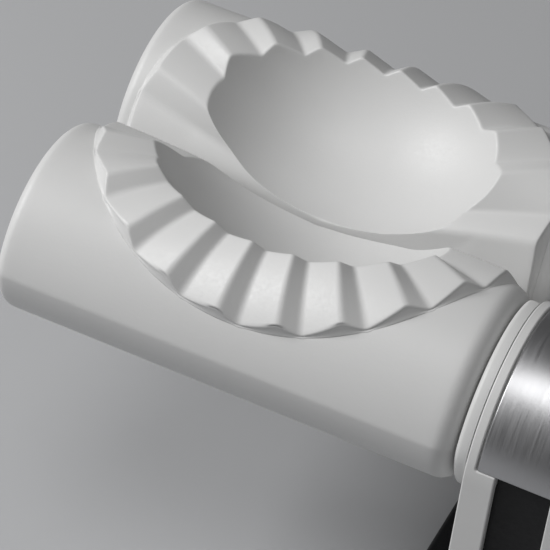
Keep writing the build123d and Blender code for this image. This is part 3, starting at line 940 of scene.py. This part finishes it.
    def bowl(self, near_rim: Array, far_rim: Array, soft: Array) -> Array:
        """The hollow's floor along great circles of the ball, short of both rims by their rounding.

        With a bend b between two directions, the place at share t is sin((1 - t) b) / sin b of the first and
        sin(t b) / sin b of the second.

        Args:
            near_rim: The near rim's places, of shape (lines, 3).
            far_rim: The far rim's places, of the same shape.
            soft: Lengths kept free for the rims' roundings.

        Returns:
            Places of shape (rows, lines, 3).
        """
        start, stop = self.to_ball(near_rim), self.to_ball(far_rim)
        start_size, stop_size = (np.linalg.norm(spots, axis=-1, keepdims=True) for spots in (start, stop))
        start, stop = start / start_size, stop / stop_size
        bend = np.arccos(np.clip(np.sum(start * stop, axis=-1), -1, 1))
        slack = np.minimum(self.rim_share, soft / (self.hollow_round * np.maximum(bend, 0.01)))
        share = slack + np.linspace(0, 1, self.bowl_rows)[:, None] * (1 - 2 * slack)
        safe = np.maximum(np.sin(bend), 1e-6)
        first, second = (np.where(bend > 1e-3, np.sin(part * bend) / safe, part)[..., None]
                         for part in (1 - share, share))
        size = (1 - share)[..., None] * start_size + share[..., None] * stop_size
        return self.from_ball(size * (first * start + second * stop))

    def ring_wall(self, top_reach: Array, angle: Array) -> Array:
        """The ring's rounded top edge, its drafted wall with a foot fillet, and a last row inside the hump.

        The wall moves out by its draft times its fall, and by the fillet times the fourth power of the
        fall's share.

        Args:
            top_reach: Reaches of the top edge, one for each line.
            angle: The lines' angles in degrees.

        Returns:
            Places of shape (rows, lines, 3).
        """
        corner = np.linspace(0, QUARTER_TURN, self.edge_steps + 1)[1:, None]
        edge_reach = top_reach - self.edge_rounding * (1 - np.sin(corner))
        edge_lift = self.land_lift(top_reach, angle) - self.edge_rounding * (1 - np.cos(corner))
        drop = np.linspace(0, 1, self.wall_steps + 1)[1:, None]
        wall_height = np.maximum(edge_lift[-1:], self.wall_lowest)
        wall_reach = top_reach + self.wall_draft * wall_height * drop + self.foot_fillet * drop ** 4
        reach = np.concatenate([edge_reach, wall_reach, wall_reach[-1:]])
        sunk = np.full_like(wall_height, -self.sink_depth)
        return self.drape(reach, angle, np.concatenate([edge_lift, wall_height * (1 - drop), sunk]))

    def nip_wall(self, edge: Array) -> Array:
        """Carry the land's edge along the nip line down past the nip, with a rounded edge.

        Args:
            edge: Places along the nip line, of shape (places, 3).

        Returns:
            Places of shape (steps, places, 3).
        """
        corner = np.linspace(0, QUARTER_TURN, self.edge_steps)[1:]
        sink = np.concatenate([self.edge_rounding * (1 - np.cos(corner)), self.nip_sink])[:, None]
        swing = np.concatenate([self.edge_rounding * np.sin(corner), self.nip_swing])[:, None]
        length = np.hypot(edge[:, 1], edge[:, 2])
        depth = np.maximum(length - sink, np.minimum(length, self.radius - 1))
        angle = np.arctan2(edge[:, 2], edge[:, 1]) - swing / self.radius
        x = np.broadcast_to(edge[:, 0], depth.shape)
        return np.stack([x, depth * np.cos(angle), depth * np.sin(angle)], axis=-1)

    def closed_skin(self, top: Array) -> Skin:
        """Add the nip wall to a grid and close it with a fan from its border to the roller's middle.

        Args:
            top: Grid of shape (rows, columns, 3) whose faces look away from the roller axis.

        Returns:
            The points and the faces.
        """
        rows, columns = top.shape[:2]
        edge = np.concatenate([np.arange(rows - 1, 0, -1) * columns, np.arange(columns),
                               np.arange(1, rows) * columns + columns - 1])
        flat = top.reshape(-1, 3)
        wall = self.nip_wall(flat[edge])
        steps, count = wall.shape[:2]
        strip = np.concatenate([edge[None], len(flat) + np.arange(steps * count).reshape(steps, count)])
        sides = np.stack([strip[:-1, :-1], strip[:-1, 1:], strip[1:, 1:], strip[1:, :-1]], axis=-1)
        last_row = (rows - 1) * columns + np.arange(columns)[::-1]
        border = np.concatenate([strip[-1], strip[-2:0:-1, -1], last_row, strip[1:-1, 0]])
        fan = np.stack([border, np.roll(border, -1), np.full(len(border), len(flat) + steps * count)], axis=1)
        points = np.concatenate([flat, wall.reshape(-1, 3), np.zeros((1, 3))])
        return points, [grid_quads(rows, columns)[:, ::-1], sides.reshape(-1, 4), fan]

    def hump(self) -> Skin:
        """The plain hump, lowered under the hollow, with both ends rounded.

        The end roundings draw the outline in towards the roller axis.

        Returns:
            The points and the faces.
        """
        outline = self.section(self.outline_rounding, self.outline_step)
        half = self.length / 2
        xs, insets = rounded_stations(-half, half, self.outer_rounding, self.inner_rounding, self.end_steps,
                                      self.middle_stations)
        size = np.linalg.norm(outline, axis=1)
        rings = self.press(xs, outline * (1 - insets[:, None] / size)[..., None])
        return closed_prism(xs, rings, np.zeros(2), self.end_shares)

    def press(self, xs: Array, rings: Array) -> Array:
        """Sink the rings under the pleated ring, so that only its own skin shows there.

        A place at turn a lies across = radius (1 - cos a) up to the top, and radius (1 + a - half pi) past
        it, and its reach from the nip's middle is the root of x squared plus across squared.

        Args:
            xs: Places of the rings.
            rings: Outlines of shape (rings, points, 2).

        Returns:
            The sunk outlines.
        """
        turn = np.arctan2(rings[..., 1], rings[..., 0])
        across = self.radius * np.where(turn < QUARTER_TURN, 1 - np.cos(turn), 1 + turn - QUARTER_TURN)
        reach = np.hypot(xs[:, None], across)
        under = (reach < self.ring_radius - self.press_margin) & (turn > self.press_turn)
        length = np.linalg.norm(rings, axis=-1)
        wanted = np.where(under, np.minimum(length, self.press_radius), length)
        return rings * (wanted / length)[..., None]

    def build(self, shelf: FinishShelf) -> bpy.types.Object:
        """Build, place and dress this mould, and let it stand for its node.

        Args:
            shelf: The finishes.

        Returns:
            The mould.
        """
        skins = [(points - [self.middle, 0, 0], faces) for points, faces in (self.pad(), self.hump())]
        node = node_name("mould", self.row, self.side)
        thing = self.placed_mesh(node + "_skin", skins)
        weld(thing)
        return shelf.stands_for(thing, node)


@dataclass
class Carrier(Roller):
    """The plate with a rounded rim that carries a mould's inner end."""

    radius: float = 25.0
    inner_face: float = 13.5
    thickness: float = 2.95
    nip_reach: float = 13.0
    corner_rounding: float = 5.0
    outline_step: float = 0.8
    rim_rounding: float = 1.2
    inner_rounding: float = 0.15
    arc_steps: int = 6
    end_shares: tuple[float, ...] = (0.35, 0.75)

    def build(self, shelf: FinishShelf) -> bpy.types.Object:
        """Build, place and dress this carrier, and let it stand for its node.

        Args:
            shelf: The finishes.

        Returns:
            The carrier.
        """
        outline = self.section(self.corner_rounding, self.outline_step, self.nip_reach)
        xs, insets = rounded_stations(-self.inner_face - self.thickness, -self.inner_face, self.rim_rounding,
                                      self.inner_rounding, self.arc_steps)
        rings = outline + insets[:, None, None] * inward_normals(outline)
        skin = closed_prism(xs, rings, outline.mean(axis=0), self.end_shares)
        node = node_name("carrier", self.row, self.side)
        return shelf.stands_for(self.placed_mesh(node + "_plate", [skin]), node)


# Body, gears and lever

@dataclass
class SoftCopy:
    """A moulded, cut or turned node, copied with every sharp edge broken."""

    node: str
    width: float
    shortest_edge: float = 0.0
    segments: int = 3
    sharp_angle: float = 32.0
    merge_distance: float = 1e-5
    flat_angle: float = 0.4

    def build(self, shelf: FinishShelf) -> bpy.types.Object:
        """Copy the node's mesh, merge it, join its flat triangles and bevel its edges.

        Args:
            shelf: The finishes.

        Returns:
            The copy.
        """
        source = frame["nodes"][self.node]
        mesh = source.data
        points = np.empty(3 * len(mesh.vertices))
        mesh.vertices.foreach_get("co", points)
        matrix = np.array(source.matrix_world)
        points = points.reshape(-1, 3) @ matrix[:3, :3].T + matrix[:3, 3]
        mesh.calc_loop_triangles()
        corners = np.empty(3 * len(mesh.loop_triangles), dtype=np.int32)
        mesh.loop_triangles.foreach_get("vertices", corners)
        thing = mesh_object(self.node + "_soft", points / MM, [corners.reshape(-1, 3)])
        work = bmesh.new()
        work.from_mesh(thing.data)
        bmesh.ops.remove_doubles(work, verts=work.verts, dist=self.merge_distance)
        bmesh.ops.dissolve_limit(work, angle_limit=math.radians(self.flat_angle), verts=work.verts,
                                 edges=work.edges)
        for face in work.faces:
            face.smooth = True
        self.mark_edges(work)
        work.to_mesh(thing.data)
        work.free()
        bevel = thing.modifiers.new("broken_edges", "BEVEL")
        bevel.width = self.width * MM
        bevel.segments = self.segments
        bevel.limit_method = "WEIGHT"
        bevel.use_clamp_overlap = False
        bevel.harden_normals = True
        bevel.miter_outer = "MITER_ARC"
        return shelf.stands_for(thing, self.node)

    def mark_edges(self, work: bmesh.types.BMesh) -> None:
        """Give full bevel weight to the sharp edges whose ends meet no sharp edge below the shortest one.

        The other sharp edges stay hard in the shading.

        Args:
            work: The merged copy.
        """
        weight = work.edges.layers.float.new("bevel_weight_edge")
        sharp = {edge for edge in work.edges if edge.calc_face_angle(0) > math.radians(self.sharp_angle)}
        shortest = self.shortest_edge * MM
        crowded = {spot for edge in sharp if edge.calc_length() < shortest for spot in edge.verts}
        for edge in sharp:
            edge.smooth = not crowded.intersection(edge.verts)
            edge[weight] = float(edge.smooth)


@dataclass
class Body:
    """Cheeks, panels, base, rods, gears and lever parts that keep their built shape with broken edges."""

    cheek_edge: float = 1.0
    widths: dict[str, float] = field(default_factory=lambda: {
        "left_cheek": 0.4, "right_cheek": 0.4, "front_panel": 0.35, "rear_panel": 0.35, "valley_cap": 0.2,
        "base_plate": 0.3, "base_mat": 0.6, "bumper": 0.6, "lever_plate": 0.5, "lever_hub": 0.3,
        "front_gear": 0.2, "rear_gear": 0.2, "idler_gear_a": 0.2, "idler_gear_b": 0.2,
        "front_low_rod": 0.2, "front_high_rod": 0.2, "rear_low_rod": 0.2, "stop_rod": 0.2,
        "pivot_pin": 0.3, "idler_pin_a": 0.25, "idler_pin_b": 0.25, "front_shaft": 0.2, "rear_shaft": 0.2})

    def copies(self) -> list[SoftCopy]:
        """The soft copies, on the cheeks without the small edges inside."""
        return [SoftCopy(node, width, self.cheek_edge if "cheek" in node else 0.0)
                for node, width in self.widths.items()]


@dataclass
class BentCover:
    """A brushed sheet bent over one roller's crown between the cheeks."""

    row: Row
    outer_radius: float = 25.15
    thickness: float = 1.1
    half_width: float = 10.62
    low_angle: float = 8.95
    high_angle: float = 139.95
    edge_rounding: float = 0.3
    arc_steps: int = 150
    corner_steps: int = 4
    end_gap: int = 3

    def section(self) -> Array:
        """The sheet's cut, a rectangle with rounded corners.

        Returns:
            Pairs of X and radius round the cut's middle.
        """
        turn = np.linspace(0, QUARTER_TURN, self.corner_steps + 1)
        half = np.array([self.half_width, self.thickness / 2]) - self.edge_rounding
        corners = []
        for quarter, signs in enumerate(((1, 1), (-1, 1), (-1, -1), (1, -1))):
            angle = turn + quarter * QUARTER_TURN
            corner = np.stack([np.cos(angle), np.sin(angle)], axis=1)
            corners.append(half * signs + self.edge_rounding * corner)
        return np.concatenate(corners)

    def build(self, shelf: FinishShelf) -> bpy.types.Object:
        """Sweep the cut round the roller axis, its ends rounded by shrinking the cut towards its middle.

        Args:
            shelf: The finishes.

        Returns:
            The cover.
        """
        low, high = math.radians(self.low_angle), math.radians(self.high_angle)
        ends = np.linspace(0, QUARTER_TURN, self.corner_steps + 1)[:-1]
        inset = self.edge_rounding * (1 - np.cos(ends)) / self.outer_radius
        between = np.linspace(low, high, self.arc_steps)[self.end_gap:-self.end_gap]
        angles = np.concatenate([low + inset, between, high - inset[::-1]])[:, None]
        shrink = self.edge_rounding * (1 - np.sin(ends))
        shrink = np.concatenate([shrink, np.zeros(len(between)), shrink[::-1]])
        cut = self.section()
        cuts = cut - shrink[:, None, None] * np.sign(np.round(cut, 6))
        radius = cuts[..., 1] + self.outer_radius - self.thickness / 2
        loops = np.stack([cuts[..., 0], self.row.value * (AXIS_OFFSET + radius * np.cos(angles)),
                          AXIS_HEIGHT + radius * np.sin(angles)], axis=-1)
        node = node_name("cover", self.row)
        skin = loop_skin(loops, loops[0].mean(axis=0), loops[-1].mean(axis=0))
        return shelf.stands_for(mesh_object(node + "_sheet", *skin), node)


@dataclass
class EndCap:
    """A domed, fluted nut on a shaft's outer end."""

    row: Row
    side: Side
    inner_face: float = 127.05
    outer_face: float = 133.05
    radius: float = 7.0
    back_rounding: float = 0.4
    dome_rounding: float = 1.7
    dome_steps: int = 9
    dome_rise: float = 0.5
    rings: int = 12
    ring_shares: tuple[float, float] = (0.15, 0.97)
    directions: int = 144
    flutes: int = 12
    flute_depth: float = 0.45
    flute_start: float = 0.55
    flute_away: tuple[float, float] = (0.6, 1.6)

    def profile(self) -> Array:
        """The nut's profile from the back face to the dome, as pairs of X and radius.

        The dome rises by one less the square of the share of its radius.

        Returns:
            Places of shape (places, 2).
        """
        shoulder = self.outer_face - self.dome_rise
        back = rounded_corner(self.inner_face, self.radius, self.back_rounding, True)
        front = rounded_corner(shoulder, self.radius, -self.dome_rounding, False, self.dome_steps)
        share = np.linspace(*self.ring_shares, self.rings)
        flat = np.stack([np.full(self.rings, self.inner_face), share * back[0, 1]], axis=1)
        along = np.linspace(back[-1, 0], front[0, 0], self.rings)[1:-1]
        side = np.stack([along, np.full(len(along), self.radius)], axis=1)
        dome = np.stack([shoulder + self.dome_rise * (1 - share ** 2), share * front[-1, 1]], axis=1)[::-1]
        return np.concatenate([flat, back, side, front, dome])

    def build(self, shelf: FinishShelf) -> bpy.types.Object:
        """Turn the profile and press the flutes into its rim.

        The flute's depth follows a raised cosine to the fourth power round the rim, and fades in over the
        outer part of the radius and away from the back face.

        Args:
            shelf: The finishes.

        Returns:
            The nut.
        """
        x, radius = self.profile().T
        wave = (0.5 + 0.5 * np.cos(self.flutes * full_circle(self.directions))) ** 4
        rim = smooth_step(radius, self.flute_start * self.radius, self.radius)
        away = smooth_step(x - self.inner_face, *self.flute_away)
        radii = radius[:, None] - self.flute_depth * (rim * away)[:, None] * wave
        skin = turned_skin(self.side.value * x, radii, (self.row.value * AXIS_OFFSET, AXIS_HEIGHT),
                           (self.side.value * self.inner_face, self.side.value * self.outer_face))
        node = node_name("cap", self.row, self.side)
        return shelf.stands_for(mesh_object(node + "_nut", *skin), node)


@dataclass
class Grip:
    """The lever's grip bar: barrelled, with shallow lengthwise flutes between two plain ends."""

    centre: tuple[float, float] = (77.5, 116.675)
    radius: float = 10.0
    half_length: float = 32.0
    end_rounding: float = 6.0
    end_steps: int = 14
    face_rings: int = 8
    face_shares: tuple[float, float] = (0.2, 0.96)
    middle_rings: int = 88
    directions: int = 216
    waist: float = 0.35
    waist_end: float = 6.0
    flutes: int = 18
    flute_depth: float = 0.5
    fade: tuple[float, float] = (12.0, 5.0)

    def build(self, shelf: FinishShelf) -> bpy.types.Object:
        """Turn the bar's outline and press the flutes into it.

        The radius loses a raised cosine of the length for the two soft waists, and a squared cosine round the
        bar for the flutes, squared again, which fade out over the plain ends.

        Args:
            shelf: The finishes.

        Returns:
            The bar.
        """
        start = rounded_corner(-self.half_length, self.radius, self.end_rounding, True, self.end_steps)
        middle = np.linspace(start[-1, 0], -start[-1, 0], self.middle_rings + 2)[1:-1]
        centre = np.stack([middle, np.full(self.middle_rings, self.radius)], axis=1)
        face = np.linspace(*self.face_shares, self.face_rings) * start[0, 1]
        low = np.concatenate([np.stack([np.full(self.face_rings, -self.half_length), face], axis=1), start])
        x, radius = np.concatenate([low, centre, low[::-1] * [-1, 1]]).T
        inside = 1 - smooth_step(np.abs(x), *(self.half_length - gap for gap in self.fade))
        swell = 0.5 - 0.5 * np.cos(FULL_TURN * x / (self.half_length - self.waist_end))
        wave = np.cos(self.flutes * full_circle(self.directions) / 2) ** 4
        radii = (radius - self.waist * swell * inside)[:, None] - self.flute_depth * inside[:, None] * wave
        skin = turned_skin(x, radii, self.centre, (x[0], x[-1]))
        return shelf.stands_for(mesh_object("lever_grip_bar", *skin), "lever_grip")


@dataclass
class SocketScrews:
    """The screws of one cheek, with hexagon sockets in their flush heads."""

    side: Side
    places: tuple[tuple[float, float], ...]
    face: float = 13.35
    head_radius: float = 3.0
    head_height: float = 1.6
    stem_radius: float = 1.5
    reach: float = 7.0
    tip_chamfer: float = 0.4
    rim_rounding: float = 0.35
    socket_half: float = 1.25
    socket_depth: float = 1.0
    socket_chamfer: float = 0.12
    floor_shares: tuple[float, float] = (0.5, 0.97)
    edge: float = 0.1
    directions: int = 96

    def profile(self) -> tuple[Array, Array]:
        """A screw from its socket's floor over the head to the stem's tip.

        The socket's edge at angle a lies at half width / cos of the angle from the nearest flat's middle.

        Returns:
            The X places, and the radii of shape (places, directions).
        """
        sixth = FULL_TURN / 6
        turn = full_circle(self.directions)
        hexagon = self.socket_half / np.cos((turn + sixth / 2) % sixth - sixth / 2)
        mouth = hexagon + self.socket_chamfer
        head = rounded_corner(self.face, self.head_radius, -self.rim_rounding, False)[::-1]
        floor, back = self.face - self.socket_depth, self.face - self.head_height
        tip = back - self.reach
        rows = [*((floor, share * hexagon) for share in self.floor_shares), (floor + self.edge, hexagon),
                (self.face - self.socket_chamfer, hexagon), (self.face, mouth),
                (self.face, (mouth + head[0, 1]) / 2), *head, (back + self.edge, self.head_radius),
                (back, self.head_radius - self.edge), (back, self.stem_radius + self.edge),
                (back - self.edge, self.stem_radius), (tip + self.tip_chamfer, self.stem_radius),
                (tip, self.stem_radius - self.tip_chamfer)]
        radii = [np.broadcast_to(radius, turn.shape) for _, radius in rows]
        return np.array([place for place, _ in rows]), np.stack(radii)

    def build(self, shelf: FinishShelf) -> bpy.types.Object:
        """Turn every screw of the cheek and join them.

        Args:
            shelf: The finishes.

        Returns:
            The screws as one piece.
        """
        x, radii = self.profile()
        x = self.side.value * x
        skin = join_parts([turned_skin(x, radii, place, (x[0], x[-1])) for place in self.places])
        node = node_name("cheek_screws", self.side)
        return shelf.stands_for(mesh_object(node + "_hex", *skin), node)


# Room, light and camera

@dataclass
class Studio:
    """A pale floor, soft lamps and the photograph's camera.

    Each lamp has a name, a place and a size in metres, and a power.
    """

    floor_half: float = 3000.0
    floor_colour: Colour = (0.50, 0.505, 0.515)
    floor_roughness: float = 0.9
    room_colour: Colour = (0.93, 0.93, 0.94)
    room_strength: float = 0.105
    lamps: tuple[tuple[str, tuple[float, float, float], float, float], ...] = (
        ("key_lamp", (-1.08, -0.40, 0.84), 0.55, 13.0),
        ("top_lamp", (-0.24, -0.43, 1.38), 0.62, 4.4),
        ("fill_lamp", (0.5, -1.1, 1.3), 1.2, 1.1),
    )
    lit_place: tuple[float, float, float] = (0.0, 0.0, 0.08)
    azimuth: float = 20.65
    elevation: float = 41.36
    roll: float = 7.38
    focal_pixels: float = 3000.0
    distance: float = 698.9
    aim: tuple[float, float, float] = (-81.09, 0.0, 66.12)
    frame_pixels: float = 550.0
    sensor_width: float = 36.0

    def floor(self) -> None:
        """Lay the pale floor under the feet."""
        corners = np.array([[-1, -1, 0], [1, -1, 0], [1, 1, 0], [-1, 1, 0]]) * self.floor_half
        thing = mesh_object("floor", corners, [np.array([[0, 1, 2, 3]])], smooth=False)
        paint = bpy.data.materials.new("pale_floor")
        paint.use_nodes = True
        wire(paint.node_tree, paint.node_tree.nodes["Principled BSDF"],
             {"Base Color": (*self.floor_colour, 1), "Roughness": self.floor_roughness})
        thing.data.materials.append(paint)

    def light(self) -> None:
        """Light the machine from the left and above by square lamps that look at it, in a dim pale room."""
        for name, place, size, power in self.lamps:
            light = bpy.data.lights.new(name, "AREA")
            light.energy = power
            light.size = size
            thing = bpy.data.objects.new(name, light)
            bpy.context.scene.collection.objects.link(thing)
            thing.location = place
            thing.rotation_mode = "QUATERNION"
            thing.rotation_quaternion = (Vector(self.lit_place) - Vector(place)).to_track_quat("-Z", "Y")
        world = bpy.data.worlds.new("room")
        bpy.context.scene.world = world
        world.use_nodes = True
        wire(world.node_tree, world.node_tree.nodes["Background"],
             {"Color": (*self.room_colour, 1), "Strength": self.room_strength})
        bpy.context.scene.view_settings.view_transform = "Standard"

    def camera(self) -> None:
        """Set the camera by its angles, its distance and its focal length in pixels.

        It stands back from its aim along (sin az cos el, -cos az cos el, sin el), rolled round that line.
        """
        az, el, roll = (math.radians(v) for v in (self.azimuth, self.elevation, self.roll))
        back = np.array([math.sin(az) * math.cos(el), -math.cos(az) * math.cos(el), math.sin(el)])
        right = np.array([math.cos(az), math.sin(az), 0])
        up = np.array([-math.sin(el) * math.sin(az), math.sin(el) * math.cos(az), math.cos(el)])
        data = bpy.data.cameras.new("camera")
        data.sensor_width = self.sensor_width
        data.lens = self.sensor_width * self.focal_pixels / self.frame_pixels
        data.clip_start, data.clip_end = 0.01, 20
        thing = bpy.data.objects.new("camera", data)
        bpy.context.scene.collection.objects.link(thing)
        matrix = np.eye(4)
        matrix[:3, 0] = math.cos(roll) * right + math.sin(roll) * up
        matrix[:3, 1] = -math.sin(roll) * right + math.cos(roll) * up
        matrix[:3, 2] = back
        matrix[:3, 3] = (np.array(self.aim) + self.distance * back) * MM
        thing.matrix_world = Matrix(matrix.tolist())
        bpy.context.scene.camera = thing


def main() -> None:
    """Build every sub-assembly, dress the nodes, and set the room, light and camera."""
    logging.basicConfig(level=logging.INFO)
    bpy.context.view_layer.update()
    shelf = FinishShelf()
    shelf.dress_nodes()
    makers = []
    for side in Side:
        makers += [kind(row, side) for row in Row for kind in (Mould, Carrier, EndCap)]
        makers.append(SocketScrews(side, SCREW_PLACES))
    makers += [BentCover(row) for row in Row]
    makers += [Grip(), *Body().copies()]
    for maker in makers:
        piece = maker.build(shelf)
        LOG.info("%s: %d faces", piece.name, len(piece.data.polygons))
    studio = Studio()
    studio.floor()
    studio.light()
    studio.camera()


if __name__ == "__main__":
    main()
